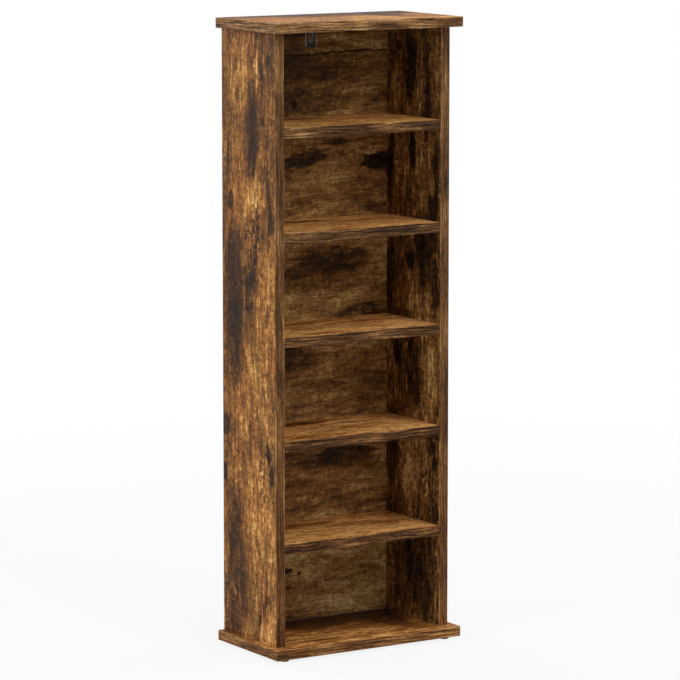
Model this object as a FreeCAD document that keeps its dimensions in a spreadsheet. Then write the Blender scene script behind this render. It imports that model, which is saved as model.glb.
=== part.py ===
import FreeCAD, Part
import math
import os
import Sketcher

# CD cabinet: an open rack with a top board, a bottom board, two side panels, fixed shelves and a thin back.
# X runs from left to right, Y from front to back and Z upwards, in millimetres.
# The origin is on the floor, under the middle of the top and bottom boards.

SIZES = [
    ("width", 320.0, "top and bottom board from left to right"),
    ("depth", 170.0, "top and bottom board from front to back"),
    ("height", 930.0, "floor to the upper face of the top board"),
    ("board", 15.0, "thickness of every board but the back panel"),
    ("side_overhang", 10.0, "end boards past the side panels' outer faces"),
    ("front_overhang", 20.0, "end boards past the side panels' front edges"),
    ("shelf_count", 5, "shelves between the end boards"),
    ("shelf_setback", 1.0, "shelf fronts behind the side panels' fronts"),
    ("band", 1.0, "thickness of an edge band"),
    ("arris", 0.6, "rounding of a band's outer edges"),
    ("back_thickness", 3.0, "back panel"),
    ("back_gap", 0.5, "room around the back panel in its frame"),
    ("rebate_width", 7.0, "rebate in the side panels that takes the back panel"),
    ("nail", 1.4, "shank of a back panel nail"),
    ("nail_length", 12.0, "back panel nail under its head"),
    ("nail_head", 3.4, "head of a back panel nail, across"),
    ("nail_head_height", 0.7, "head of a back panel nail"),
    ("fixing_inset", 35.0, "outer rows of fixings from the side panels' front and back edges"),
    ("drill_gap", 0.1, "room around a fixing in its hole"),
    ("drill_end_gap", 0.5, "room past the end of a fixing in its hole"),
    ("cam_reach", 34.0, "cam centre from the board that its bolt is screwed into"),
    ("cam_across", 15.0, "hole for a cam lock"),
    ("cam_height", 12.0, "cam lock"),
    ("cam_drive", 5.5, "round recess in the cam lock's face"),
    ("cam_drive_depth", 3.5, "round recess in the cam lock's face"),
    ("bolt_thread", 5.0, "thread of a cam bolt, across"),
    ("bolt_thread_length", 10.5, "thread of a cam bolt"),
    ("bolt_collar", 7.0, "collar of a cam bolt, across"),
    ("bolt_collar_height", 2.0, "collar of a cam bolt"),
    ("bolt_neck", 4.0, "shank of a cam bolt, across"),
    ("bolt_head", 6.6, "head of a cam bolt, across"),
    ("bolt_head_height", 3.0, "head of a cam bolt"),
    ("bolt_hole", 8.0, "hole from a panel's end to its cam lock"),
    ("dowel_across", 8.0, "wooden dowel"),
    ("dowel_length", 30.0, "wooden dowel"),
    ("dowel_in_face", 10.0, "dowel's length in the face of a board"),
    ("dowel_chamfer", 1.0, "dowel's ends"),
    ("cap_across", 17.0, "cover cap of a cam lock"),
    ("cap_height", 1.2, "cover cap in front of the board's face"),
    ("cap_edge", 0.6, "bevel around a cover cap"),
    ("cap_peg_length", 3.0, "peg of a cover cap in the cam lock"),
    ("foot_across", 15.0, "foot"),
    ("foot_height", 4.0, "foot, from the floor to the bottom board"),
    ("foot_edge", 0.8, "bevel around a foot"),
    ("foot_side_inset", 20.0, "foot centre from the bottom board's left or right edge"),
    ("foot_end_inset", 15.0, "foot centre from the bottom board's front or back edge"),
    ("foot_recess", 7.0, "recess under a foot for its nail's head, across"),
    ("foot_recess_depth", 1.6, "recess under a foot"),
    ("foot_nail", 2.0, "shank of a foot's nail"),
    ("foot_nail_length", 15.0, "foot's nail above its head"),
    ("foot_nail_head", 6.0, "head of a foot's nail, across"),
    ("foot_nail_head_height", 1.0, "head of a foot's nail"),
    ("bracket_width", 18.0, "wall bracket from left to right"),
    ("bracket_steel", 1.5, "thickness of the wall bracket"),
    ("bracket_drop", 34.0, "bracket's upright leg, down from the top board"),
    ("bracket_run", 24.0, "bracket's level leg, forward from the back panel"),
    ("bracket_bend", 1.5, "inner radius of the bracket's bend"),
    ("bracket_corner", 3.0, "rounded corners of the bracket's legs"),
    ("wall_slot", 7.5, "slot in the upright leg, across"),
    ("wall_slot_length", 15.0, "slot in the upright leg"),
    ("wall_slot_drop", 20.0, "middle of the slot under the top board"),
    ("bracket_screw", 3.0, "shank of a bracket screw"),
    ("bracket_screw_length", 11.0, "bracket screw above its head"),
    ("bracket_screw_head", 6.4, "head of a bracket screw, across"),
    ("bracket_screw_head_height", 2.0, "head of a bracket screw"),
    ("bracket_screw_first", 9.5, "first bracket screw from the back panel"),
    ("bracket_screw_spacing", 8.5, "from one bracket screw to the next"),
]

# An edge band's rounding takes at most this share of its thickness.
ROUNDING_SHARE = 0.8

doc = FreeCAD.newDocument("cd_cabinet")
sheet = doc.addObject("Spreadsheet::Sheet", "Sizes")
for row, (alias, number, note) in enumerate(SIZES, start=1):
    sheet.set(f"A{row}", alias)
    sheet.set(f"B{row}", str(number))
    sheet.set(f"C{row}", note)
    sheet.setAlias(f"B{row}", alias)
doc.recompute()

# Places that follow from the sizes, as expressions for the sketches and placements
BACK_EDGE = "(Sizes.depth / 2)"
OUTER_HALF = "(Sizes.width / 2 - Sizes.side_overhang)"
INNER_HALF = f"({OUTER_HALF} - Sizes.board)"
SIDE_FRONT = "(Sizes.front_overhang - Sizes.depth / 2)"
SHELF_FRONT = f"({SIDE_FRONT} + Sizes.shelf_setback)"
BACK_INSIDE = f"({BACK_EDGE} - Sizes.back_thickness - Sizes.nail_head_height)"
SIDE_HEIGHT = "(Sizes.height - Sizes.foot_height - 2 * Sizes.board)"
SIDE_BOTTOM = "(Sizes.foot_height + Sizes.board)"
SIDE_MIDDLE = f"({SIDE_BOTTOM} + {SIDE_HEIGHT} / 2)"
SHELF_PITCH = f"(({SIDE_HEIGHT} + Sizes.board) / (Sizes.shelf_count + 1))"
FIRST_SHELF = f"({SIDE_BOTTOM} + {SHELF_PITCH} - Sizes.board)"
FIRST_SHELF_IN_SIDE = f"({FIRST_SHELF} + Sizes.board / 2 - {SIDE_MIDDLE})"
TOP_INSIDE = "(Sizes.height - Sizes.board)"
FRONT_ROW = f"({SIDE_FRONT} + Sizes.fixing_inset)"
BACK_ROW = f"({BACK_EDGE} - Sizes.fixing_inset)"
MIDDLE_ROW = f"(({FRONT_ROW} + {BACK_ROW}) / 2)"
ROW_GAP = f"({BACK_ROW} - {FRONT_ROW})"
THREAD_HOLE = "(Sizes.bolt_thread + 2 * Sizes.drill_gap)"
THREAD_DEPTH = "(Sizes.bolt_thread_length + Sizes.drill_end_gap)"
DOWEL_HOLE = "(Sizes.dowel_across + 2 * Sizes.drill_gap)"
DOWEL_FACE_DEPTH = "(Sizes.dowel_in_face + Sizes.drill_end_gap)"
DOWEL_END_DEPTH = "(Sizes.dowel_length - Sizes.dowel_in_face + Sizes.drill_end_gap)"
CAM_DEPTH = "(Sizes.cam_height + Sizes.drill_end_gap)"
NAIL_HOLE = "(Sizes.nail + 2 * Sizes.drill_gap)"
NAIL_IN_BOARD = "(Sizes.nail_length - Sizes.back_thickness + Sizes.drill_end_gap)"
NAIL_COLUMN = f"({INNER_HALF} + Sizes.rebate_width / 2)"
NAIL_PITCH = f"({SIDE_HEIGHT} / (2 * (Sizes.shelf_count + 1)))"
FIRST_NAIL = f"(({NAIL_PITCH} - {SIDE_HEIGHT}) / 2)"
SHELF_NAIL = f"({INNER_HALF} / 2)"
FOOT_X = "(Sizes.width / 2 - Sizes.foot_side_inset)"
FOOT_Y = "(Sizes.depth / 2 - Sizes.foot_end_inset)"
FOOT_NAIL_HOLE = "(Sizes.foot_nail + 2 * Sizes.drill_gap)"
FOOT_NAIL_DEPTH = "(Sizes.foot_nail_length + Sizes.foot_recess_depth - Sizes.foot_height + Sizes.drill_end_gap)"
BRACKET_SCREW_HOLE = "(Sizes.bracket_screw + 2 * Sizes.drill_gap)"
BRACKET_SCREW_DEPTH = "(Sizes.bracket_screw_length - Sizes.bracket_steel + Sizes.drill_end_gap)"

# The left side and the right side, as the sign of X
SIDES = {"left": -1, "right": 1}
ENDS = {"front": -1, "back": 1}

sub_parts = []


def value(expression):
    """The number that an expression on the sheet gives."""
    return float(sheet.evalExpression(str(expression)))


def new_body(name, x="0", y="0", z="0", turn_axis=None, turn=0):
    """An empty sub-part, placed by expressions and turned about one axis."""
    body = doc.addObject("PartDesign::Body", name)
    body.Label = name
    body.AllowCompound = True
    if turn_axis:
        body.Placement = FreeCAD.Placement(FreeCAD.Vector(), FreeCAD.Rotation(turn_axis, turn))
    body.setExpression("Placement.Base.x", x)
    body.setExpression("Placement.Base.y", y)
    body.setExpression("Placement.Base.z", z)
    sub_parts.append(body)
    return body


def datum(body, role):
    """One of the body's own origin planes or axes."""
    return next(item for item in body.Origin.OriginFeatures if item.Role == role)


def new_sketch(body, plane, along="0", up="0", out="0", turn=0):
    """A sketch parallel to an origin plane, moved along, up and out of it."""
    sketch = body.newObject("Sketcher::SketchObject", "sketch")
    sketch.AttachmentSupport = [(datum(body, plane), "")]
    sketch.MapMode = "FlatFace"
    sketch.AttachmentOffset = FreeCAD.Placement(
        FreeCAD.Vector(), FreeCAD.Rotation(FreeCAD.Vector(0, 0, 1), turn))
    sketch.setExpression("AttachmentOffset.Base.x", along)
    sketch.setExpression("AttachmentOffset.Base.y", up)
    sketch.setExpression("AttachmentOffset.Base.z", out)
    return sketch


def draw_outline(sketch, corners):
    """A closed outline of straight lines, each corner bound to its two expressions."""
    places = [FreeCAD.Vector(value(across), value(up), 0) for across, up in corners]
    lines = []
    for number, place in enumerate(places):
        following = places[(number + 1) % len(places)]
        lines.append(sketch.addGeometry(Part.LineSegment(place, following), False))
    for number, line in enumerate(lines):
        following = lines[(number + 1) % len(lines)]
        sketch.addConstraint(Sketcher.Constraint("Coincident", line, 2, following, 1))
    for line, place, (across, up) in zip(lines, places, corners):
        for kind, number, expression in (("DistanceX", place.x, across), ("DistanceY", place.y, up)):
            index = sketch.addConstraint(Sketcher.Constraint(kind, -1, 1, line, 1, number))
            sketch.setExpression(f"Constraints[{index}]", expression)


def draw_rectangle(sketch, left, low, right, high):
    """A rectangle between two corners."""
    draw_outline(sketch, [(left, low), (right, low), (right, high), (left, high)])


def draw_circle(sketch, across):
    """A circle about the sketch's own origin."""
    radius = value(across) / 2
    circle = sketch.addGeometry(Part.Circle(FreeCAD.Vector(), FreeCAD.Vector(0, 0, 1), radius), False)
    sketch.addConstraint(Sketcher.Constraint("Coincident", circle, 3, -1, 1))
    index = sketch.addConstraint(Sketcher.Constraint("Diameter", circle, 2 * radius))
    sketch.setExpression(f"Constraints[{index}]", across)


def draw_slot(sketch, across, length):
    """An upright slot with round ends about the sketch's own origin."""
    radius = value(across) / 2
    centre = value(length) / 2 - radius
    up = FreeCAD.Vector(0, 0, 1)
    top = Part.ArcOfCircle(Part.Circle(FreeCAD.Vector(0, centre, 0), up, radius), 0, math.pi)
    bottom = Part.ArcOfCircle(Part.Circle(FreeCAD.Vector(0, -centre, 0), up, radius), math.pi, 2 * math.pi)
    left = Part.LineSegment(FreeCAD.Vector(-radius, centre, 0), FreeCAD.Vector(-radius, -centre, 0))
    right = Part.LineSegment(FreeCAD.Vector(radius, -centre, 0), FreeCAD.Vector(radius, centre, 0))
    top, left, bottom, right = [sketch.addGeometry(item, False) for item in (top, left, bottom, right)]
    outline = [top, left, bottom, right]
    for number, item in enumerate(outline):
        sketch.addConstraint(Sketcher.Constraint("Tangent", item, 2, outline[(number + 1) % 4], 1))
    sketch.addConstraint(Sketcher.Constraint("Vertical", left))
    sketch.addConstraint(Sketcher.Constraint("Symmetric", top, 3, bottom, 3, -1, 1))
    for constraint, expression in (
            (Sketcher.Constraint("Radius", top, radius), f"{across} / 2"),
            (Sketcher.Constraint("DistanceY", bottom, 3, top, 3, 2 * centre), f"{length} - {across}")):
        index = sketch.addConstraint(constraint)
        sketch.setExpression(f"Constraints[{index}]", expression)


def pad(body, sketch, length, reversed_way=False, both_ways=False):
    """Material from a sketch, along its normal, against it or half each way."""
    feature = body.newObject("PartDesign::Pad", "pad")
    feature.Profile = sketch
    feature.setExpression("Length", length)
    feature.Reversed = reversed_way
    if both_ways:
        feature.SideType = "Symmetric"
    doc.recompute()
    return feature


def pocket(body, sketch, length, along_normal=False, both_ways=False):
    """A cut from a sketch, against its normal, along it or half each way. It has to remove material."""
    before = body.Shape.Volume
    feature = body.newObject("PartDesign::Pocket", "pocket")
    feature.Profile = sketch
    feature.setExpression("Length", length)
    feature.Reversed = along_normal
    if both_ways:
        feature.SideType = "Symmetric"
    doc.recompute()
    if not body.Shape.Volume < before:
        raise ValueError(f"{body.Label}: a pocket cuts nothing")
    return feature


def drill(body, plane, along, up, out, across, depth, along_normal=False):
    """A round blind hole."""
    sketch = new_sketch(body, plane, along, up, out)
    draw_circle(sketch, across)
    return pocket(body, sketch, depth, along_normal)


def revolve(body, sketch, axis):
    """Material turned about one of the sketch's own axes."""
    feature = body.newObject("PartDesign::Revolution", "revolution")
    feature.Profile = sketch
    feature.ReferenceAxis = (sketch, [axis])
    feature.Angle = 360
    doc.recompute()
    return feature


def mirror(body, plane, originals=None):
    """The given features, or the whole body, mirrored about an origin plane."""
    feature = body.newObject("PartDesign::Mirrored", "mirrored")
    if originals:
        feature.Originals = originals
    else:
        feature.TransformMode = "Whole shape"
    feature.MirrorPlane = (datum(body, plane), [""])
    body.Tip = feature
    doc.recompute()
    return feature


def repeat(body, axis, spacing, count, originals=None):
    """The given features, or the whole body, repeated in a row along an origin axis."""
    feature = body.newObject("PartDesign::LinearPattern", "row")
    if originals:
        feature.Originals = originals
    else:
        feature.TransformMode = "Whole shape"
    feature.Direction = (datum(body, axis), [""])
    feature.Mode = "Spacing"
    feature.setExpression("Offset", spacing)
    feature.setExpression("Occurrences", str(count))
    body.Tip = feature
    doc.recompute()
    return feature


def round_edges(body, radius, middles):
    """A rounding of the edges whose middles are at the given places in the body's own frame."""
    base = body.Tip
    places = [FreeCAD.Vector(*(value(expression) for expression in middle)) for middle in middles]
    near = Part.Precision.approximation()
    names = []
    for number, edge in enumerate(base.Shape.Edges, start=1):
        if any(edge.CenterOfMass.isEqual(place, near) for place in places):
            names.append(f"Edge{number}")
    if len(names) != len(places):
        raise ValueError(f"{body.Label}: {len(names)} of {len(places)} edges found to round")
    feature = body.newObject("PartDesign::Fillet", "rounding")
    feature.Base = (base, names)
    feature.setExpression("Radius", radius)
    body.Tip = feature
    doc.recompute()
    return feature


def edge_band(name, length, x, y, z, turn_axis=None, turn=0, free_ends=False):
    """A strip glued on a board's edge. Its outer face looks to -Y before it is turned."""
    body = new_body(name, x, y, z, turn_axis, turn)
    sketch = new_sketch(body, "XY_Plane")
    draw_rectangle(sketch, f"-{length} / 2", "-Sizes.band", f"{length} / 2", "0")
    pad(body, sketch, "Sizes.board")
    middles = [("0", "-Sizes.band", "0"), ("0", "-Sizes.band", "Sizes.board")]
    if free_ends:
        middles += [(f"{sign} * {length} / 2", "-Sizes.band", "Sizes.board / 2") for sign in SIDES.values()]
    round_edges(body, f"min(Sizes.arris; Sizes.band * {ROUNDING_SHARE})", middles)


def end_board(name, z, turn=0):
    """The top or bottom board, with its inner face at its own z = 0, drilled for the side panels."""
    body = new_body(name, "0", "0", z, FreeCAD.Vector(0, 1, 0), turn)
    sketch = new_sketch(body, "XY_Plane")
    half = "(Sizes.width / 2 - Sizes.band)"
    draw_rectangle(sketch, f"-{half}", "Sizes.band - Sizes.depth / 2", half, BACK_EDGE)
    pad(body, sketch, "Sizes.board")
    column = f"({INNER_HALF} + Sizes.board / 2)"
    holes = []
    for row in (FRONT_ROW, BACK_ROW):
        holes.append(drill(body, "XY_Plane", column, row, "0", THREAD_HOLE, THREAD_DEPTH, True))
    holes.append(drill(body, "XY_Plane", column, MIDDLE_ROW, "0", DOWEL_HOLE, DOWEL_FACE_DEPTH, True))
    mirror(body, "YZ_Plane", holes)
    return body


def end_board_bands(prefix, z):
    """Bands on the front, left and right edges of the top or bottom board."""
    edge_band(f"{prefix}_front_band", "Sizes.width", "0", "Sizes.band - Sizes.depth / 2", z, free_ends=True)
    for side, sign in SIDES.items():
        edge_band(f"{prefix}_{side}_band", "(Sizes.depth - Sizes.band)",
                  f"{sign} * (Sizes.width / 2 - Sizes.band)", "Sizes.band / 2", z,
                  FreeCAD.Vector(0, 0, 1), sign * 90)


def drill_for_bracket(body):
    """Holes in the top board for the wall bracket's two screws."""
    first = f"({BACK_INSIDE} - Sizes.bracket_screw_first)"
    for place in (first, f"({first} - Sizes.bracket_screw_spacing)"):
        drill(body, "XY_Plane", "0", place, "0", BRACKET_SCREW_HOLE, BRACKET_SCREW_DEPTH, True)


def drill_for_feet(body):
    """Holes in the bottom board's outer face for the feet's nails."""
    holes = []
    for sign in ENDS.values():
        holes.append(drill(body, "XY_Plane", FOOT_X, f"{sign} * {FOOT_Y}", "Sizes.board",
                           FOOT_NAIL_HOLE, FOOT_NAIL_DEPTH))
    mirror(body, "YZ_Plane", holes)


def side_panel(side, sign):
    """A side panel, with its inner face at its own x = 0 and its middle height at z = 0."""
    body = new_body(f"{side}_side_panel", f"{sign} * {INNER_HALF}", "0", SIDE_MIDDLE)
    outwards = sign > 0
    sketch = new_sketch(body, "XY_Plane")
    front = f"({SIDE_FRONT} + Sizes.band)"
    draw_rectangle(sketch, "0", front, f"{sign} * Sizes.board", BACK_EDGE)
    pad(body, sketch, SIDE_HEIGHT, both_ways=True)
    sketch = new_sketch(body, "XY_Plane")
    draw_rectangle(sketch, "0", BACK_INSIDE, f"{sign} * Sizes.rebate_width", BACK_EDGE)
    pocket(body, sketch, SIDE_HEIGHT, both_ways=True)
    end = f"({SIDE_HEIGHT} / 2)"
    middle = f"{sign} * Sizes.board / 2"
    holes = []
    for row in (FRONT_ROW, BACK_ROW):
        holes.append(drill(body, "YZ_Plane", row, f"{end} - Sizes.cam_reach", "0",
                           "Sizes.cam_across", CAM_DEPTH, outwards))
        holes.append(drill(body, "XY_Plane", middle, row, end, "Sizes.bolt_hole", "Sizes.cam_reach"))
    holes.append(drill(body, "XY_Plane", middle, MIDDLE_ROW, end, DOWEL_HOLE, DOWEL_END_DEPTH))
    mirror(body, "XY_Plane", holes)
    rows = [drill(body, "YZ_Plane", MIDDLE_ROW, FIRST_SHELF_IN_SIDE, "0", THREAD_HOLE, THREAD_DEPTH, outwards)]
    for row in (FRONT_ROW, BACK_ROW):
        rows.append(drill(body, "YZ_Plane", row, FIRST_SHELF_IN_SIDE, "0",
                          DOWEL_HOLE, DOWEL_FACE_DEPTH, outwards))
    repeat(body, "Z_Axis", SHELF_PITCH, "Sizes.shelf_count", rows)
    nails = drill(body, "XZ_Plane", f"{sign} * Sizes.rebate_width / 2", FIRST_NAIL, f"-{BACK_INSIDE}",
                  NAIL_HOLE, NAIL_IN_BOARD, True)
    repeat(body, "Z_Axis", NAIL_PITCH, "2 * (Sizes.shelf_count + 1)", [nails])
    band_x = f"-{OUTER_HALF}" if sign < 0 else INNER_HALF
    edge_band(f"{side}_side_band", SIDE_HEIGHT, band_x, front, SIDE_MIDDLE, FreeCAD.Vector(0, 1, 0), 90)


def shelf(number):
    """A fixed shelf, with its underside at its own z = 0, and the band on its front edge."""
    level = f"({FIRST_SHELF} + {number - 1} * {SHELF_PITCH})"
    body = new_body(f"shelf_{number}", "0", "0", level)
    sketch = new_sketch(body, "XY_Plane")
    front = f"({SHELF_FRONT} + Sizes.band)"
    draw_rectangle(sketch, f"-{INNER_HALF}", front, INNER_HALF, BACK_INSIDE)
    pad(body, sketch, "Sizes.board")
    middle = "Sizes.board / 2"
    holes = [
        drill(body, "XY_Plane", f"{INNER_HALF} - Sizes.cam_reach", MIDDLE_ROW, "0",
              "Sizes.cam_across", CAM_DEPTH, True),
        drill(body, "YZ_Plane", MIDDLE_ROW, middle, INNER_HALF, "Sizes.bolt_hole", "Sizes.cam_reach"),
        drill(body, "XZ_Plane", SHELF_NAIL, middle, f"-{BACK_INSIDE}", NAIL_HOLE, NAIL_IN_BOARD, True),
    ]
    for row in (FRONT_ROW, BACK_ROW):
        holes.append(drill(body, "YZ_Plane", row, middle, INNER_HALF, DOWEL_HOLE, DOWEL_END_DEPTH))
    mirror(body, "YZ_Plane", holes)
    edge_band(f"shelf_{number}_band", f"(2 * {INNER_HALF})", "0", front, level)


def back_panel():
    """The thin back, with its inner face at its own y = 0 and its middle height at z = 0."""
    body = new_body("back_panel", "0", BACK_INSIDE, SIDE_MIDDLE)
    half_width = f"({INNER_HALF} + Sizes.rebate_width - Sizes.back_gap)"
    half_height = f"({SIDE_HEIGHT} / 2 - Sizes.back_gap)"
    sketch = new_sketch(body, "XZ_Plane")
    draw_rectangle(sketch, f"-{half_width}", f"-{half_height}", half_width, half_height)
    pad(body, sketch, "Sizes.back_thickness", reversed_way=True)
    edge_nails = []
    shelf_nails = []
    for sign in SIDES.values():
        edge_nails.append(drill(body, "XZ_Plane", f"{sign} * {NAIL_COLUMN}", FIRST_NAIL, "0",
                                NAIL_HOLE, "Sizes.back_thickness"))
        shelf_nails.append(drill(body, "XZ_Plane", f"{sign} * {SHELF_NAIL}", FIRST_SHELF_IN_SIDE, "0",
                                 NAIL_HOLE, "Sizes.back_thickness"))
    repeat(body, "Z_Axis", NAIL_PITCH, "2 * (Sizes.shelf_count + 1)", edge_nails)
    repeat(body, "Z_Axis", SHELF_PITCH, "Sizes.shelf_count", shelf_nails)


def headed_pin(body, plane, along, up, out, turn, pin):
    """A nail or screw. Its head's underside is at the sketch's origin, and its shank runs up to a point."""
    sketch = new_sketch(body, plane, along, up, out, turn)
    head, shank = f"Sizes.{pin}_head / 2", f"Sizes.{pin} / 2"
    height, length = f"-Sizes.{pin}_head_height", f"Sizes.{pin}_length"
    draw_outline(sketch, [("0", height), (head, height), (head, "0"), (shank, "0"),
                          (shank, f"{length} - {shank}"), ("0", length)])
    revolve(body, sketch, "V_Axis")


def back_nails():
    """Nails through the back panel: two columns into the side panels, and a pair into each shelf."""
    outside = f"({BACK_INSIDE} + Sizes.back_thickness)"
    body = new_body("back_edge_nails", "0", outside, SIDE_MIDDLE)
    headed_pin(body, "XY_Plane", NAIL_COLUMN, "0", FIRST_NAIL, 180, "nail")
    mirror(body, "YZ_Plane")
    repeat(body, "Z_Axis", NAIL_PITCH, "2 * (Sizes.shelf_count + 1)")
    body = new_body("back_shelf_nails", "0", outside, SIDE_MIDDLE)
    headed_pin(body, "XY_Plane", SHELF_NAIL, "0", FIRST_SHELF_IN_SIDE, 180, "nail")
    mirror(body, "YZ_Plane")
    repeat(body, "Z_Axis", SHELF_PITCH, "Sizes.shelf_count")


def cam_bolt(body, surface, row, level):
    """A cam bolt along X, screwed into the board at the given surface."""
    sketch = new_sketch(body, "XZ_Plane", surface, level, f"-{row}")
    thread, collar = "Sizes.bolt_thread / 2", "Sizes.bolt_collar / 2"
    neck, head = "Sizes.bolt_neck / 2", "Sizes.bolt_head / 2"
    collar_end = "-Sizes.bolt_collar_height"
    head_start = "Sizes.bolt_head_height / 2 - Sizes.cam_reach"
    head_end = "-Sizes.bolt_head_height / 2 - Sizes.cam_reach"
    draw_outline(sketch, [
        ("Sizes.bolt_thread_length", "0"), ("Sizes.bolt_thread_length", thread), ("0", thread), ("0", collar),
        (collar_end, collar), (collar_end, neck), (head_start, neck), (head_start, head),
        (head_end, head), (head_end, "0")])
    revolve(body, sketch, "H_Axis")


def cam_lock(body, centre, row, face):
    """A cam lock along Z behind the given face, with a chamber for the bolt's head and a slot for its neck."""
    sketch = new_sketch(body, "XY_Plane", centre, row, face)
    draw_circle(sketch, "Sizes.cam_across - 2 * Sizes.drill_gap")
    pad(body, sketch, "Sizes.cam_height")
    level = f"({face} + Sizes.board / 2)"
    room = "Sizes.drill_gap"
    head = f"(Sizes.bolt_head / 2 + {room})"
    reach = f"(Sizes.bolt_head_height / 2 + {room})"
    sketch = new_sketch(body, "XZ_Plane", centre, level, f"-{row}")
    draw_rectangle(sketch, f"-{reach}", f"-{head}", reach, head)
    pocket(body, sketch, f"2 * {head}", both_ways=True)
    neck = f"(Sizes.bolt_neck / 2 + {room})"
    sketch = new_sketch(body, "XZ_Plane", centre, level, f"-{row}")
    draw_rectangle(sketch, "0", f"-{neck}", "Sizes.cam_across / 2", neck)
    pocket(body, sketch, f"2 * {neck}", both_ways=True)
    drill(body, "XY_Plane", centre, row, face, "Sizes.cam_drive", "Sizes.cam_drive_depth", True)


def cam_cap(body, centre, row, face):
    """A cover cap on the given face, with a peg in the cam lock's recess."""
    sketch = new_sketch(body, "XZ_Plane", centre, face, f"-{row}")
    peg, cap = "(Sizes.cam_drive / 2 - Sizes.drill_gap)", "Sizes.cap_across / 2"
    draw_outline(sketch, [
        ("0", "-Sizes.cap_height"), (f"{cap} - Sizes.cap_edge", "-Sizes.cap_height"),
        (cap, "Sizes.cap_edge - Sizes.cap_height"), (cap, "0"), (peg, "0"),
        (peg, "Sizes.cap_peg_length"), ("0", "Sizes.cap_peg_length")])
    revolve(body, sketch, "V_Axis")


def dowel(body, surface, row, level):
    """A wooden dowel along X, across the joint at the given surface."""
    sketch = new_sketch(body, "XZ_Plane", surface, level, f"-{row}")
    radius = "Sizes.dowel_across / 2"
    outer, inner = "Sizes.dowel_in_face", "(Sizes.dowel_in_face - Sizes.dowel_length)"
    draw_outline(sketch, [
        (inner, "0"), (inner, f"{radius} - Sizes.dowel_chamfer"), (f"{inner} + Sizes.dowel_chamfer", radius),
        (f"{outer} - Sizes.dowel_chamfer", radius), (outer, f"{radius} - Sizes.dowel_chamfer"), (outer, "0")])
    revolve(body, sketch, "H_Axis")


def end_fixings(prefix, z, turn):
    """Cams, bolts, caps and dowels between one end board and the side panels.

    They are made for a side panel that lies along X and are then turned upright.
    """
    across = FreeCAD.Vector(0, 1, 0)
    centre = "-Sizes.cam_reach"
    middle = f"({INNER_HALF} + Sizes.board / 2)"
    for name, make, place, level in (
            ("cam_bolts", cam_bolt, "0", middle), ("cam_locks", cam_lock, centre, INNER_HALF),
            ("cam_caps", cam_cap, centre, INNER_HALF)):
        body = new_body(f"{prefix}_{name}", "0", "0", z, across, turn)
        make(body, place, FRONT_ROW, level)
        repeat(body, "Y_Axis", ROW_GAP, "2")
        mirror(body, "XY_Plane")
    body = new_body(f"{prefix}_dowels", "0", "0", z, across, turn)
    dowel(body, "0", MIDDLE_ROW, middle)
    mirror(body, "XY_Plane")


def shelf_fixings():
    """Cams, bolts, caps and dowels between the shelves and the side panels."""
    centre = f"({INNER_HALF} - Sizes.cam_reach)"
    for name, make, place, level in (
            ("cam_bolts", cam_bolt, INNER_HALF, "Sizes.board / 2"), ("cam_locks", cam_lock, centre, "0"),
            ("cam_caps", cam_cap, centre, "0")):
        body = new_body(f"shelf_{name}", "0", "0", FIRST_SHELF)
        make(body, place, MIDDLE_ROW, level)
        mirror(body, "YZ_Plane")
        repeat(body, "Z_Axis", SHELF_PITCH, "Sizes.shelf_count")
    body = new_body("shelf_dowels", "0", "0", FIRST_SHELF)
    dowel(body, INNER_HALF, FRONT_ROW, "Sizes.board / 2")
    repeat(body, "Y_Axis", ROW_GAP, "2")
    mirror(body, "YZ_Plane")
    repeat(body, "Z_Axis", SHELF_PITCH, "Sizes.shelf_count")


def feet():
    """Four round feet, each held by a nail whose head is sunk in its underside."""
    for end, end_sign in ENDS.items():
        for side, side_sign in SIDES.items():
            body = new_body(f"{end}_{side}_foot", f"{side_sign} * {FOOT_X}", f"{end_sign} * {FOOT_Y}")
            sketch = new_sketch(body, "XZ_Plane")
            outer, hole = "Sizes.foot_across / 2", f"{FOOT_NAIL_HOLE} / 2"
            recess, roof = "Sizes.foot_recess / 2", "Sizes.foot_recess_depth"
            draw_outline(sketch, [
                (hole, roof), (recess, roof), (recess, "0"), (f"{outer} - Sizes.foot_edge", "0"),
                (outer, "Sizes.foot_edge"), (outer, "Sizes.foot_height"), (hole, "Sizes.foot_height")])
            revolve(body, sketch, "V_Axis")
    body = new_body("foot_nails", "0", "0", "Sizes.foot_recess_depth")
    headed_pin(body, "XZ_Plane", FOOT_X, "0", FOOT_Y, 0, "foot_nail")
    mirror(body, "YZ_Plane")
    mirror(body, "XZ_Plane")


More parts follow.
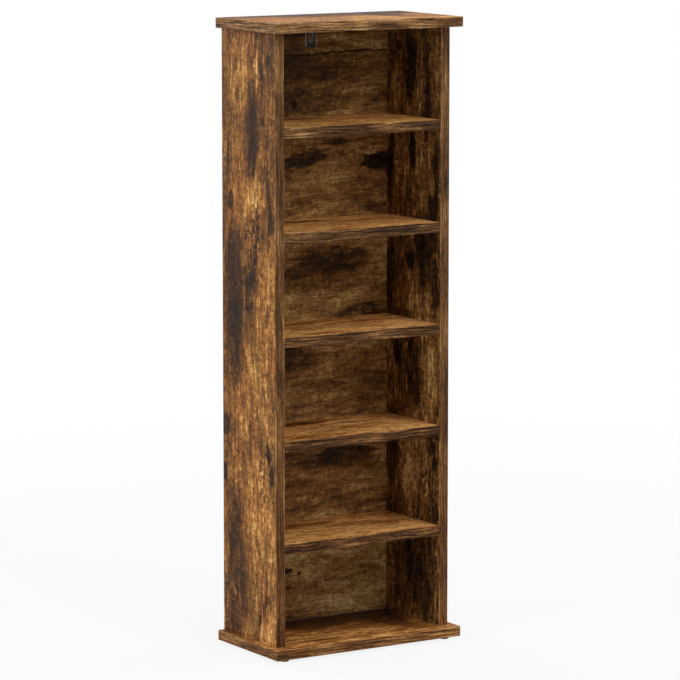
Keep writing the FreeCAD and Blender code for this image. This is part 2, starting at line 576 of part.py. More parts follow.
def wall_bracket():
    """The angle against tipping, with its outer corner at its own origin, and the screws that hold it."""
    body = new_body("wall_bracket", "0", BACK_INSIDE, TOP_INSIDE)
    sketch = new_sketch(body, "YZ_Plane")
    steel, run, drop = "-Sizes.bracket_steel", "-Sizes.bracket_run", "-Sizes.bracket_drop"
    draw_outline(sketch, [("0", "0"), (run, "0"), (run, steel), (steel, steel), (steel, drop), ("0", drop)])
    pad(body, sketch, "Sizes.bracket_width", both_ways=True)
    round_edges(body, "Sizes.bracket_bend", [("0", steel, steel)])
    round_edges(body, "Sizes.bracket_bend + Sizes.bracket_steel", [("0", "0", "0")])
    corners = []
    for sign in SIDES.values():
        edge = f"{sign} * Sizes.bracket_width / 2"
        corners += [(edge, run, f"{steel} / 2"), (edge, f"{steel} / 2", drop)]
    round_edges(body, "Sizes.bracket_corner", corners)
    first = "-Sizes.bracket_screw_first"
    for place in (first, f"({first} - Sizes.bracket_screw_spacing)"):
        drill(body, "XY_Plane", "0", place, "0", BRACKET_SCREW_HOLE, "Sizes.bracket_steel")
    sketch = new_sketch(body, "XZ_Plane", "0", "-Sizes.wall_slot_drop")
    draw_slot(sketch, "Sizes.wall_slot", "Sizes.wall_slot_length")
    pocket(body, sketch, "Sizes.bracket_steel", along_normal=True)
    body = new_body("bracket_screws", "0", BACK_INSIDE, f"({TOP_INSIDE} - Sizes.bracket_steel)")
    headed_pin(body, "XZ_Plane", "0", "0", "(Sizes.bracket_screw_first + Sizes.bracket_screw_spacing)", 0,
               "bracket_screw")
    repeat(body, "Y_Axis", "Sizes.bracket_screw_spacing", "2")


def build():
    """Every sub-part, from the bottom upwards."""
    feet()
    bottom = end_board("bottom_panel", SIDE_BOTTOM, 180)
    drill_for_feet(bottom)
    end_board_bands("bottom", "Sizes.foot_height")
    end_fixings("bottom", SIDE_BOTTOM, 90)
    for side, sign in SIDES.items():
        side_panel(side, sign)
    for number in range(1, int(value("Sizes.shelf_count")) + 1):
        shelf(number)
    shelf_fixings()
    back_panel()
    back_nails()
    top = end_board("top_panel", TOP_INSIDE)
    drill_for_bracket(top)
    end_board_bands("top", TOP_INSIDE)
    end_fixings("top", TOP_INSIDE, -90)
    wall_bracket()


def check():
    """Stop if any object failed, or if a sub-part has no valid shape."""
    for item in doc.Objects:
        if "Invalid" in item.State or "Error" in item.State:
            raise ValueError(f"{item.Label} failed: {item.State}")
    for body in sub_parts:
        if body.Shape.isNull() or not body.Shape.isValid():
            raise ValueError(f"{body.Label} has no valid shape")


def export():
    """One STEP file for each sub-part, named by its label."""
    os.makedirs("parts", exist_ok=True)
    for body in sub_parts:
        body.Shape.exportStep(f"parts/{body.Label}.step")
        print(f"{body.Label}: {len(body.Shape.Solids)} solids, {body.Shape.Volume / 1000:.2f} cm3")


build()
doc.recompute()
check()
export()
print(f"{len(sub_parts)} sub-parts")
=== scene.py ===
# %% [markdown]
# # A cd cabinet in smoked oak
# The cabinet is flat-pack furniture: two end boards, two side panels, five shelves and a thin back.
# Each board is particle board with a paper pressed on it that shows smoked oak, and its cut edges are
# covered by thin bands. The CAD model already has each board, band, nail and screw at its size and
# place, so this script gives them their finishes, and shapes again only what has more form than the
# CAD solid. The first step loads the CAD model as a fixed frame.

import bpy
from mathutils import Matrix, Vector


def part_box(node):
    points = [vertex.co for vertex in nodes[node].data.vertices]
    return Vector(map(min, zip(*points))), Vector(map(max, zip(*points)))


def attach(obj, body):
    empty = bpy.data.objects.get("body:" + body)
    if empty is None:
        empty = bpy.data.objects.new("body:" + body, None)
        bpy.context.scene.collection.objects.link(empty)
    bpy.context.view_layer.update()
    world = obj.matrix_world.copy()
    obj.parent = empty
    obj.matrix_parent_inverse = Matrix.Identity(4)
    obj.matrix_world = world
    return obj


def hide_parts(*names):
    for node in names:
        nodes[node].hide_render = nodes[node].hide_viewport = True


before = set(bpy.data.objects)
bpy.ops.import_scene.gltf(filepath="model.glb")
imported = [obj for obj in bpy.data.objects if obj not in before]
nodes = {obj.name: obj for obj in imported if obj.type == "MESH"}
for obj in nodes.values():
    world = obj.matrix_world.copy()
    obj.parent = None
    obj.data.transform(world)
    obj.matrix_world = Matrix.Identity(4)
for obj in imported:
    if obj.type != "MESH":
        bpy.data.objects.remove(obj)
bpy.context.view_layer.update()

# %% [markdown]
# ## Sums on sockets
# A finish is a tree of nodes. Wired by hand, a sum such as 1 - mask takes a Math node and two links,
# and a hundred of them can't be read. So one small class stands for an output socket: a sum on it
# adds the Math node. Colours go through a Mix node, because a Math node would turn them grey, and
# every other kind of node comes from the one method called node.

# %% The class for sums
import bpy


class Value:
    """An output socket of a finish. A sum on it adds its Math nodes."""

    def __init__(self, tree, socket=None):
        self.tree, self.socket = tree, socket

    def node(self, kind, settings=(), sockets=(), out=0):
        """Adds a node: its settings first, then the numbers or links of its sockets."""
        made = self.tree.nodes.new("ShaderNode" + kind)
        for name, setting in dict(settings).items():
            if name == "stops":
                stops = made.color_ramp.elements
                stops[0].position, stops[1].position = setting[0][0], setting[-1][0]
                for position, _ in setting[1:-1]:
                    stops.new(position)
                for stop, (_, shade) in zip(stops, setting):
                    stop.color = shade
            else:
                setattr(made, name, setting)
        for name, given in dict(sockets).items():
            if isinstance(given, Value):
                self.tree.links.new(given.socket, made.inputs[name])
            else:
                made.inputs[name].default_value = given
        return Value(self.tree, made.outputs[out] if made.outputs else None)

    def math(self, operation, *others):
        """A Math node on this value and, where the operation takes more than one, on the others."""
        return self.node("Math", {"operation": operation}, enumerate((self, *others)))

    def __add__(self, other):
        return self.math("ADD", other)

    def __sub__(self, other):
        return self.math("SUBTRACT", other)

    def __rsub__(self, other):
        return self.node("Math", {"operation": "SUBTRACT"}, {0: other, 1: self})

    def __mul__(self, other):
        return self.math("MULTIPLY", other)

    def __abs__(self):
        return self.math("ABSOLUTE")

    __radd__, __rmul__ = __add__, __mul__

    def scaled(self, factor, shift):
        """factor * value + shift, in one node."""
        return self.math("MULTIPLY_ADD", factor, shift)

    def step(self, low, high, top=1.0):
        """0 up to low, top from high on, and smooth in between. It falls where high is below low."""
        return self.node("MapRange", {"interpolation_type": "SMOOTHSTEP"},
                         {"Value": self, "From Min": low, "From Max": high, "To Max": top})

    def colour(self, *stops):
        """The value read off a row of (value, colour) stops."""
        return self.node("ValToRGB", {"stops": stops}, {0: self})

    def mix(self, first, second):
        """Two colours, mixed by this value."""
        return self.node("Mix", {"data_type": "RGBA"}, {0: self, 6: first, 7: second}, 2)

    def tinted(self, tint):
        """This colour, multiplied by another."""
        multiply = {"data_type": "RGBA", "blend_type": "MULTIPLY"}
        return self.node("Mix", multiply, {0: 1.0, 6: self, 7: tint}, 2)


def paint(*colour_card):
    """A colour as a colour card gives it, 0 to 255, in the linear light that the sockets take."""
    light = [c / 255 for c in colour_card]
    return (*(c / 12.92 if c < 0.04045 else ((c + 0.055) / 1.055) ** 2.4 for c in light), 1.0)


print("sums ready; mid grey on a colour card is", round(paint(128, 128, 128)[0], 3), "in light")

# %% [markdown]
# ## A place on a board
# A printed board has its grain along its length. The pattern could come from a UV map, but the CAD
# nodes have none, and every board lies square to the axes. So each pattern is drawn on three numbers
# of the Object coordinates, in metres: across the grain, along it, and through the board. The third
# makes the two faces of a board differ. Sizes of spots and marks are given in millimetres, as they
# would be measured on the board, and each finish starts with a weak shine, as on paper or dull paint.

# %% Finishes and places
MM = 0.001
PER_METRE = 1 / MM
WEAK_SHINE = 0.08


def new_finish(name):
    """An empty finish: the start of its sums, and its shader."""
    material = bpy.data.materials.new(name)
    material.use_nodes = True
    material.node_tree.nodes.clear()
    start = Value(material.node_tree)
    shader = start.node("BsdfPrincipled")
    shader.socket.node.inputs["Specular IOR Level"].default_value = WEAK_SHINE
    start.node("OutputMaterial", sockets={"Surface": shader})
    return material, start, shader.socket.node


def place(start, across, along, through):
    """The three numbers of a point on a board: each argument is X, Y or Z."""
    point = start.node("TexCoord", out="Object")
    return [point.node("SeparateXYZ", sockets={0: point}, out=axis) for axis in (across, along, through)]


def facing(start, axis):
    """1 where the surface faces along the axis, either way, and 0 where it faces across."""
    normal = start.node("TexCoord", out="Normal")
    return abs(normal.node("SeparateXYZ", sockets={0: normal}, out=axis)).step(0.4, 0.6)


def spotted(across, along, through, sizes):
    """The point on which a pattern is drawn, so that its spots have the given sizes in millimetres."""
    spots = [v * (PER_METRE / size) for v, size in zip((across, along, through), sizes)]
    return across.node("CombineXYZ", sockets=enumerate(spots))


def noise(across, along, through, sizes, detail=2.0, roughness=0.55, distortion=0.0):
    """Noise of about 0 to 1 whose spots have the given sizes: across, along and through."""
    where = spotted(across, along, through, sizes)
    return where.node("TexNoise", {"noise_dimensions": "3D"},
                      {"Vector": where, "Scale": 1.0, "Detail": detail, "Roughness": roughness,
                       "Distortion": distortion})


def cells(across, along, through, sizes, feature, out=0):
    """Irregular cells of the given sizes: the distance to a middle or an edge, or a cell's own colour."""
    where = spotted(across, along, through, sizes)
    return where.node("TexVoronoi", {"feature": feature}, {"Vector": where, "Scale": 1.0}, out)


def dress(start, shader, colour, roughness, height, depth):
    """Gives the shader its colour, its gloss and its relief, whose depth is in millimetres."""
    links = start.tree.links
    links.new(colour.socket, shader.inputs["Base Color"])
    links.new(roughness.socket, shader.inputs["Roughness"])
    bump = start.node("Bump", sockets={"Strength": 1.0, "Distance": depth / PER_METRE, "Height": height},
                      out="Normal")
    links.new(bump.socket, shader.inputs["Normal"])


print("places and noises ready")

# %% [markdown]
# ## The oak print
# The paper on the boards is printed with old, smoked oak: golden wood between near-black, smoky flames,
# with small black knots. One noise can't look like that, so the tone, from 0 for soot to 1 for gold, is
# a sum: slow clouds stretched along the grain, then streaks, fibres, mottles, pores and fine cracks, and
# listed marks. A mark is given by its middle across and along the grain, its half width and half
# length, how much it lightens or darkens, and how soft its outline is: knots and soot have a firmer one
# than smoke. It is an oval, or has pointed ends where it is long, and the noises bend its outline, as in
# real wood. The colour then drifts between two tints, and greenish khaki takes over in the shade.
# The khaki is painted shade: it stands for the shade inside the cabinet, on the faces that look into it.

# %% The oak print
SMOKED_OAK = [
    (0.00, paint(30, 18, 11)), (0.18, paint(57, 35, 19)), (0.36, paint(91, 57, 28)),
    (0.52, paint(125, 82, 42)), (0.68, paint(162, 110, 59)), (0.84, paint(199, 146, 84)),
    (1.00, paint(240, 196, 130)),
]
# KHAKI is painted shade: it tints the faces that look into the cabinet.
REDDISH, OLIVE, KHAKI = (1.0, 0.93, 0.86, 1.0), (0.93, 0.99, 0.90, 1.0), (0.80, 0.93, 1.02, 1.0)
RUSSET, PLAIN = (1.0, 0.88, 0.74, 1.0), (1.0, 1.0, 1.0, 1.0)
SOOT, SMOKE, KNOT = 0.8, 1.3, 1.0
LONG = 3.4


def drop(across, along, mark):
    """How much one mark adds: all inside, none outside. Past LONG times its width it has pointed ends."""
    middle, level, half_width, half_length, tone, softness = mark
    sideways = across.scaled(PER_METRE / half_width, -middle / half_width)
    lengthways = along.scaled(PER_METRE / half_length, -level / half_length)
    sideways = abs(sideways) if half_length > LONG * half_width else sideways * sideways
    reach = lengthways.math("MULTIPLY_ADD", lengthways, sideways)
    return reach.step(1 + softness / 2, 1 - softness / 2, tone)


def oak_print(across, along, through, marks=(), flecks=(), cloud=1.0, base=0.5, streaky=1.0,
              mottled=0.95, net=0.2, net_sizes=(5.3, 13.0)):
    """The print's tone and its relief, about 0 to 1, with its marks and flecks on it.

    Base is how light the print is, and cloud, streaky, mottled and net are how strong its noises are. The
    cells of the net have two sizes in millimetres, across and along.
    """
    # The grain sways, and everything that is drawn on it sways with it.
    sway = noise(across, along, through, (160, 260, 20)) - 0.5
    ripple = noise(across, along, through, (24, 60, 9)) - 0.5
    fray = noise(across, along, through, (5, 70, 9), 4.0, 0.65) - 0.5
    bent = across + sway * 0.026 + ripple * 0.012
    frayed = along + fray * 0.06
    # From slow to fine: each noise is centred on 0, so that it lightens as much as it darkens.
    clouds = noise(bent, frayed, through, (44, 200, 11), 3.0, 0.6) - 0.5
    flames = noise(bent, frayed, through, (14, 60, 10), 4.0, 0.7) - 0.5
    streaks = noise(bent, along, through, (5.0, 40, 8), 4.0, 0.75) - 0.5
    dashes = noise(bent, along, through, (3.4, 6.5, 5), 3.0, 0.7, 0.5) - 0.5
    fibres = noise(bent, along, through, (1.0, 16, 5), 2.0, 0.6) - 0.5
    mottle = noise(bent, along, through, (9, 6, 7), 4.0, 0.7, 0.7) - 0.5
    pores = noise(bent, along, through, (0.5, 9, 3), 1.0).step(0.6, 0.72)
    rings = (clouds * 90 + flames * 20).math("SINE")
    # The marks' outlines are bent by the noises above, and blots break up their insides.
    mark_across = bent + flames * 0.014 + streaks * 0.01
    knot_across = bent + flames * 0.006 + mottle * 0.008
    knot_along = along + flames * 0.012 + dashes * 0.012
    blots = noise(knot_across, knot_along, through, (10, 15, 9), 4.0, 0.7)
    slow = clouds * (0.9 * cloud) + flames * (1.2 * cloud) + base
    if marks:
        knots = [drop(knot_across, knot_along, mark) for mark in marks if mark[-1] == KNOT]
        smoke = [drop(mark_across, frayed, mark) for mark in marks if mark[-1] != KNOT]
        slow = slow + sum(knots) * blots.scaled(1.8, 0.1) + sum(smoke) * blots.scaled(2.4, -0.3)
    slow = slow.step(-0.35, 1.25) * 0.82 + 0.11
    # The net of cracks shows here and there, and the fine noises are weaker where the print is dark.
    crack_across, crack_along = bent + dashes * 0.007, along + mottle * 0.012
    cracks = cells(crack_across, crack_along, through, (*net_sizes, 7.0), "DISTANCE_TO_EDGE")
    cracked = cracks.step(0.12, 0.0) * (flames * 2 + mottle * 2 + 0.6).step(0.3, 1.2)
    fine = (streaks * (1.6 * streaky) + dashes * (0.6 * streaky) + fibres * 0.45 + mottle * mottled
            + rings * 0.05 - pores * 0.12 - cracked * net)
    tone = slow + fine * (slow * 0.2 + 0.78)
    if flecks:
        burl = noise(mark_across, knot_along, through, (8, 10, 7), 3.0, 0.6, 0.8)
        zone = sum(drop(mark_across, frayed, mark) for mark in flecks)
        tone = tone + zone * (burl.step(0.55, 0.72, 1.1) - burl.step(0.49, 0.34, 1.1))
    relief = tone.step(0.0, 1.1) * 0.5 + fibres * 0.6 - pores * 0.5
    return tone, relief


def oak_colour(across, along, through, tone, shaded=None, tints=(REDDISH, OLIVE)):
    """The tone's colour, which drifts between two tints, and turns to khaki where it is shaded: a painted
    shade.
    """
    drift = noise(across, along, through, (30, 70, 12), 3.0).step(0.35, 0.65)
    tint = drift.mix(*tints)
    if shaded:
        tint = shaded.mix(tint, KHAKI)
    return tone.colour(*SMOKED_OAK).tinted(tint)


print("oak print ready, with", len(SMOKED_OAK), "tones")

# %% [markdown]
# ## Raw particle board
# The back edges of the boards have no band. There the real board shows its core: wood chips of one to
# three millimetres, pressed with glue. They could be flecks of noise, but chips have sides, so each is a
# cell of a Voronoi pattern with its own shade. The gaps between them are darker and lower.

# %% Raw particle board
CHIP_TONES = [
    (0.2, paint(92, 64, 38)), (0.5, paint(140, 104, 66)), (0.85, paint(182, 146, 100)),
    (1.15, paint(208, 178, 134)),
]


def particle_board(across, along, through):
    """The raw core's colour and relief."""
    sway = noise(across, along, through, (5, 5, 5), 2.0) - 0.5
    bent = across + sway * 0.003
    chips = cells(bent, along + sway * 0.002, through, (1.9, 0.8, 1.9), "F1", "Color")
    shade = chips.node("SeparateColor", sockets={0: chips}, out=0)
    dust = noise(bent, along, through, (0.5, 0.3, 0.5), 4.0, 0.7)
    clumps = noise(across, along, through, (9, 6, 9), 2.0)
    gaps = cells(bent, along, through, (2.6, 1.4, 2.6), "DISTANCE_TO_EDGE").step(0.09, 0.0)
    tone = shade * 0.35 + dust * 0.9 + clumps * 0.4 - gaps * 0.3
    return tone.colour(*CHIP_TONES), tone


print("particle board ready, with", len(CHIP_TONES), "tones")

# %% [markdown]
# ## Side panels
# The sides carry the boldest part of the print, with the grain upright. It could be one picture wrapped
# around each panel, but marks in a list can be moved one by one, as when choosing where to cut a roll of
# paper. The left panel has a long soot-black drop in the upper third, smoky flames along its back edge, a
# chain of burls with gold flecks, and small knots near both edges. Each panel's list shows on both of its
# faces, but the noises bend the marks in other ways there. Inside, the print has a little more contrast.
# The inner faces also turn khaki, which is painted shade, for the shade inside the cabinet.

# %% Marks on the side panels
LEFT_MARKS = [
    # The first two marks make the whole panel a little darker high up and lighter near the foot.
    (0, 840, 90, 100, -0.1, SMOKE), (0, 80, 100, 130, 0.15, SMOKE),
    (6, 872, 18, 36, 0.25, SMOKE), (-47, 875, 3.5, 8, -0.8, KNOT), (-30, 850, 6, 26, -0.38, SOOT),
    (1, 795, 14, 52, -0.42, SMOKE), (1, 768, 16, 40, -0.45, SOOT), (4, 723, 13, 27, -0.45, SOOT),
    (-32, 786, 6, 8, -0.7, KNOT), (71, 714, 7, 34, -0.45, SMOKE), (64, 665, 8, 14, -0.8, KNOT),
    (-48, 690, 14, 50, -0.34, SMOKE), (-53, 637, 8, 16, -0.45, SOOT), (50, 587, 30, 40, -0.38, SMOKE),
    (58, 536, 24, 60, -0.36, SMOKE), (6, 551, 22, 19, -0.38, SMOKE), (5, 551, 9, 9, -0.6, KNOT),
    (6, 510, 12, 9, -0.45, SOOT), (47, 462, 24, 84, -0.42, SMOKE), (-44, 502, 5, 20, -0.34, SMOKE),
    (76, 331, 11, 15, -0.9, KNOT), (3, 329, 6, 20, -0.26, SMOKE), (-44, 302, 6, 15, -0.75, KNOT),
    (-53, 271, 7, 15, -0.8, KNOT), (80, 259, 6, 14, -0.8, KNOT), (55, 193, 28, 50, -0.33, SMOKE),
    (50, 91, 34, 90, -0.38, SMOKE), (20, 120, 16, 70, -0.2, SMOKE), (-42, 75, 12, 14, -0.38, SMOKE),
    (-23, 52, 4.5, 10, -0.6, SOOT),
    (-15, 858, 6, 30, 0.5, SMOKE), (-38, 507, 20, 100, 0.3, SMOKE), (10, 390, 60, 70, 0.2, SMOKE),
    (-46, 180, 13, 60, 0.15, SMOKE), (-42, 37, 18, 34, 0.3, SMOKE), (40, 850, 30, 60, 0.2, SMOKE),
    (-8, 682, 30, 28, 0.36, SMOKE), (-8, 240, 30, 60, 0.25, SMOKE), (-14, 735, 60, 30, -0.12, SMOKE),
]
RIGHT_MARKS = [
    (72, 700, 9, 66, -0.6, SMOKE), (10, 734, 9, 34, -0.8, SOOT), (-53, 700, 6, 54, -0.6, SMOKE),
    # The wide dark mark at 575 mm is partly painted shade, such as cd cases in that compartment would
    # cast; the wide light one at 270 mm makes the panel lighter there.
    (37, 703, 12, 50, 0.2, SMOKE), (18, 563, 9, 13, -0.9, KNOT), (-25, 575, 34, 60, -0.4, SMOKE),
    (70, 540, 12, 70, -0.5, SMOKE), (-52, 516, 8, 40, -0.6, SMOKE), (30, 505, 30, 18, 0.2, SMOKE),
    (-49, 262, 6, 12, -1.0, KNOT), (-46, 285, 5, 10, -0.7, KNOT), (8, 270, 36, 70, 0.25, SMOKE),
    (66, 270, 14, 60, -0.4, SMOKE), (-52, 190, 8, 20, -0.5, SMOKE), (-44, 644, 10, 20, -0.6, SOOT),
    (-5, 90, 60, 70, -0.25, SMOKE), (20, 110, 10, 40, -0.4, SOOT), (20, 850, 16, 50, -0.5, SMOKE),
    (-30, 800, 10, 60, -0.4, SMOKE), (60, 820, 8, 40, 0.3, SMOKE), (5, 400, 20, 60, -0.3, SMOKE),
    (50, 420, 10, 24, -0.6, SOOT), (-40, 390, 14, 60, 0.25, SMOKE), (10, 30, 30, 20, 0.2, SMOKE),
]
LEFT_FLECKS = [
    (-10, 652, 15, 18, 0.5, SOOT), (10, 623, 15, 12, 0.5, SOOT), (-4, 605, 26, 30, 0.45, SMOKE),
    (9, 557, 26, 26, 0.3, SMOKE), (-30, 262, 14, 34, 0.45, SMOKE), (50, 84, 13, 20, 0.3, SMOKE),
    (-56, 789, 9, 10, 0.35, SOOT),
]
RIGHT_FLECKS = [
    (-28, 232, 14, 22, 0.4, SOOT), (22, 600, 16, 16, 0.3, SMOKE), (30, 450, 14, 22, 0.4, SOOT),
]
print("left side:", len(LEFT_MARKS), "marks and", len(LEFT_FLECKS), "flecked burls")
print("right side:", len(RIGHT_MARKS), "marks and", len(RIGHT_FLECKS), "flecked burls")

# %% Side panels
PANEL_MIDDLE = 142.5
INNER_CONTRAST = 0.25
PRINT_ROUGHNESS, CORE_ROUGHNESS = 0.5, 0.88
PRINT_DEPTH, CHIP_DEPTH = 0.12, 3.0
SIDE_PRINT = {"streaky": 0.8, "mottled": 1.2}


def board_finish(name, axes, face, middle=None, tints=(REDDISH, OLIVE), **print_settings):
    """A printed board: the print on the faces that look along an axis, and the raw core on its edges."""
    material, start, shader = new_finish(name)
    across, along, through = place(start, *axes)
    tone, relief = oak_print(across, along, through, **print_settings)
    core, chips = particle_board(across, along, through)
    printed = facing(start, face)
    # A side panel's inner face lies nearer to the cabinet's middle than the middle of the panel does.
    shaded = None
    if middle:
        shaded = abs(through).step((middle + 2) * MM, (middle - 2) * MM)
        tone = tone + shaded * (tone - 0.5) * INNER_CONTRAST
    # There the print turns khaki: painted shade, for the shade inside the cabinet.
    colour = printed.mix(core, oak_colour(across, along, through, tone, shaded, tints))
    roughness = printed * (tone * 0.1 - (CORE_ROUGHNESS - PRINT_ROUGHNESS)) + CORE_ROUGHNESS
    height = printed * relief + (1 - printed) * chips * CHIP_DEPTH
    dress(start, shader, colour, roughness, height, PRINT_DEPTH)
    return material


def finish_node(name, material):
    """Gives a CAD node its finish."""
    for slot in nodes[name].material_slots:
        slot.material = material


left_finish = board_finish("left_side_print", "YZX", "X", PANEL_MIDDLE, base=0.42,
                           marks=LEFT_MARKS, flecks=LEFT_FLECKS, **SIDE_PRINT)
right_finish = board_finish("right_side_print", "YZX", "X", PANEL_MIDDLE, base=0.46,
                            marks=RIGHT_MARKS, flecks=RIGHT_FLECKS, **SIDE_PRINT)
finish_node("left_side_panel", left_finish)
finish_node("right_side_panel", right_finish)
print("side panels finished:", left_finish.name, right_finish.name)

# %% [markdown]
# ## End boards and shelves
# These lie flat, and their grain runs from left to right. The paper is the same, but with fewer marks
# and a warmer brown, as if cut from a quieter part of the roll. The end boards share one list of marks,
# and the shelves another. Each shelf could have a finish of its own, but one does for them all, because
# the height of each is the third number of the pattern, so their clouds and streaks differ.

# %% End boards and shelves
BOARD_MARKS = [
    (70, 60, 42, 240, -0.7, SMOKE), (22, 92, 54, 26, -0.5, SMOKE), (-52, -60, 6, 40, -0.3, SMOKE),
    (24, -20, 7, 60, -0.35, SMOKE), (-66, 110, 3, 24, -0.5, SOOT), (-30, -96, 40, 60, 0.2, SMOKE),
    (-38, 20, 20, 60, 0.2, SMOKE), (-74, 60, 11, 110, 0.3, SMOKE), (-72, 6, 2.5, 7, -0.9, KNOT),
]
SHELF_MARKS = [
    (56, -40, 12, 66, -0.5, SMOKE), (30, 60, 8, 44, -0.3, SMOKE), (-50, -60, 7, 50, -0.3, SMOKE),
    (-40, 90, 22, 70, 0.25, SMOKE),
]
WARM = (RUSSET, REDDISH)
SHELVES = 5

end_finish = board_finish("end_board_print", "YXZ", "Z", tints=WARM, marks=BOARD_MARKS, base=0.6)
# The shelves' print has a much lighter base than the end boards': partly painted light, for the light from
# the front on the shelf tops.
shelf_finish = board_finish("shelf_print", "YXZ", "Z", tints=WARM, marks=SHELF_MARKS, base=0.92, cloud=1.1)
flat_boards = {"bottom_panel": end_finish, "top_panel": end_finish}
flat_boards.update({f"shelf_{number + 1}": shelf_finish for number in range(SHELVES)})
for name, finish in flat_boards.items():
    finish_node(name, finish)
print("flat boards:", len(flat_boards))

# %% [markdown]
# ## Back panel
# The back is hardboard, 3 mm thick. Its front has the print with the grain lying across, rather dark,
# with large soot marks and a fine net of cracks. Its rear is bare: brown, with the faint mesh of the
# screen on which the board was pressed, which two crossed sines draw. The two sides could be two slots
# of the mesh, but the CAD node has one, so the depth of each point tells the finish which side it is on.
# The printed front also turns khaki, which is painted shade, for the shade inside the cabinet.

# %% Back panel
BACK_MARKS = [
    (718, -6, 12, 32, -0.8, SMOKE), (737, 46, 3.5, 27, -0.6, SMOKE), (706, 116, 13, 25, -0.8, SMOKE),
    (713, 122, 4, 18, -0.5, SOOT), (706, -37, 20, 8, -0.4, SMOKE), (727, 118, 2, 14, 0.4, SMOKE),
    (797, -29, 6, 5, -0.9, KNOT), (871, 0, 1.6, 400, -0.6, SOOT), (902, -60, 5, 50, -0.4, SMOKE),
    (93, -41, 4.5, 9, -1.0, KNOT), (87, -20, 1.8, 3, -0.9, KNOT), (560, 40, 20, 60, -0.5, SMOKE),
    (420, -60, 22, 70, -0.5, SMOKE), (260, 60, 18, 50, -0.5, SMOKE), (480, 90, 12, 40, -0.4, SMOKE),
    (330, -100, 14, 40, -0.4, SMOKE), (600, -100, 10, 40, -0.6, SMOKE), (150, 100, 8, 40, -0.4, SMOKE),
    # The wide dark mark at 850 mm is partly painted shade, beneath the top board; the wide light one at 90
    # mm makes the lowest part lighter.
    (850, -50, 70, 130, -0.3, SMOKE), (90, 40, 70, 200, 0.24, SMOKE), (690, 20, 18, 90, 0.15, SMOKE),
]
HARDBOARD_TONES = [(0.3, paint(88, 60, 38)), (0.55, paint(116, 82, 54)), (0.8, paint(142, 106, 74))]
HARDBOARD_ROUGHNESS = 0.75
SCREEN_WAVES = 3000
PRINTED_TO, BARE_FROM = 81.5, 81.6


def back_finish():
    """The back panel's finish: print in front, bare hardboard behind and on the edges."""
    material, start, shader = new_finish("back_print")
    across, along, through = place(start, "Z", "X", "Y")
    tone, relief = oak_print(across, along, through, marks=BACK_MARKS, cloud=1.2, base=0.62, streaky=0.3,
                             net=0.3, net_sizes=(6.0, 2.4))
    tone = tone.scaled(1.15, -0.07)
    fibres = noise(across, along, through, (0.9, 2.2, 0.9), 4.0)
    patches = noise(across, along, through, (60, 60, 20), 3.0)
    screen = (across * SCREEN_WAVES).math("SINE") * (along * SCREEN_WAVES).math("SINE")
    board = (fibres * 0.6 + patches * 0.5).colour(*HARDBOARD_TONES)
    printed = through.step(BARE_FROM * MM, PRINTED_TO * MM)
    # The printed front is given the khaki of painted shade, for the shade inside the cabinet.
    colour = printed.mix(board, oak_colour(across, along, through, tone, printed))
    roughness = printed * (tone * 0.1 - (HARDBOARD_ROUGHNESS - PRINT_ROUGHNESS)) + HARDBOARD_ROUGHNESS
    height = printed * relief + (1 - printed) * (fibres + screen * 0.3)
    dress(start, shader, colour, roughness, height, PRINT_DEPTH)
    return material


finish_node("back_panel", back_finish())
print("back marks:", len(BACK_MARKS))

# %% [markdown]
# ## Edge bands
# The cut edges are covered by thin bands. They are printed too, but with a plainer grain: three or four
# wavy lines over the width that run the whole length, and short dashes between them. The board's print
# could simply run on over them, but on the real cabinet they are strips of their own, so they get their
# own finish, one for each way that a band can lie. It is redder towards the floor, and a little lighter
# at the upper arris of a level band, and at both of an upright one: partly wear from hands and cloths,
# and partly a painted highlight where the light catches the arris.

# %% Edge bands
BAND_TONES = [
    (0.0, paint(35, 23, 13)), (0.25, paint(64, 42, 22)), (0.5, paint(100, 68, 39)),
    (0.75, paint(142, 103, 64)), (1.0, paint(196, 156, 104)),
]
BOARD_PITCH, BOARD_MIDDLE, BAND_HALF = 151.8333, 11.5, 7.5
BAND_WAVES = 1500
RED_BELOW = 0.7


def band_finish(name, across_axis, along_axis, through_axis, base=0.5, contrast=1.0):
    """A band with its grain along the board, lighter where it is far aside from its own middle: wear and
    painted highlight.
    """
    material, start, shader = new_finish(name)
    across, along, through = place(start, across_axis, along_axis, through_axis)
    if across_axis == "Z":
        boards = across.scaled(PER_METRE / BOARD_PITCH, -BOARD_MIDDLE / BOARD_PITCH)
        height, aside = across, boards.math("WRAP", 0.5, -0.5) * BOARD_PITCH
    else:
        height, aside = along, abs(abs(across).scaled(PER_METRE, -PANEL_MIDDLE))
    sway = noise(across, along, through, (30, 90, 30)) - 0.5
    bent = across + sway * 0.010 + along * 0.012
    lines = noise(bent, along, through, (2.2, 60, 40), 4.0, 0.7) - 0.5
    waves = (bent * BAND_WAVES + sway * 6).math("SINE")
    dashes = noise(bent, along, through, (1.8, 9, 5), 3.0, 0.7) - 0.5
    fibres = noise(bent, along, through, (0.7, 20, 10), 2.0) - 0.5
    clouds = noise(bent, along, through, (40, 110, 40), 3.0) - 0.5
    pores = noise(bent, along, through, (0.45, 8, 5), 1.0).step(0.58, 0.7)
    # Lighter near the arrises: partly wear, partly a painted highlight where the light catches them.
    wear_and_highlight = aside.step(BAND_HALF - 1.4, BAND_HALF - 0.2) * (dashes + 0.7)
    tone = (lines * (2.3 * contrast) + waves * 0.08 + dashes * 0.8 + fibres * 0.4 + clouds * 1.0
            - pores * 0.1 + wear_and_highlight * 0.3 + base)
    colour = tone.colour(*BAND_TONES).tinted(height.step(RED_BELOW, 0.0).mix(PLAIN, RUSSET))
    dress(start, shader, colour, tone * 0.12 + 0.45, tone * 0.5 + fibres * 0.6, PRINT_DEPTH)
    return material


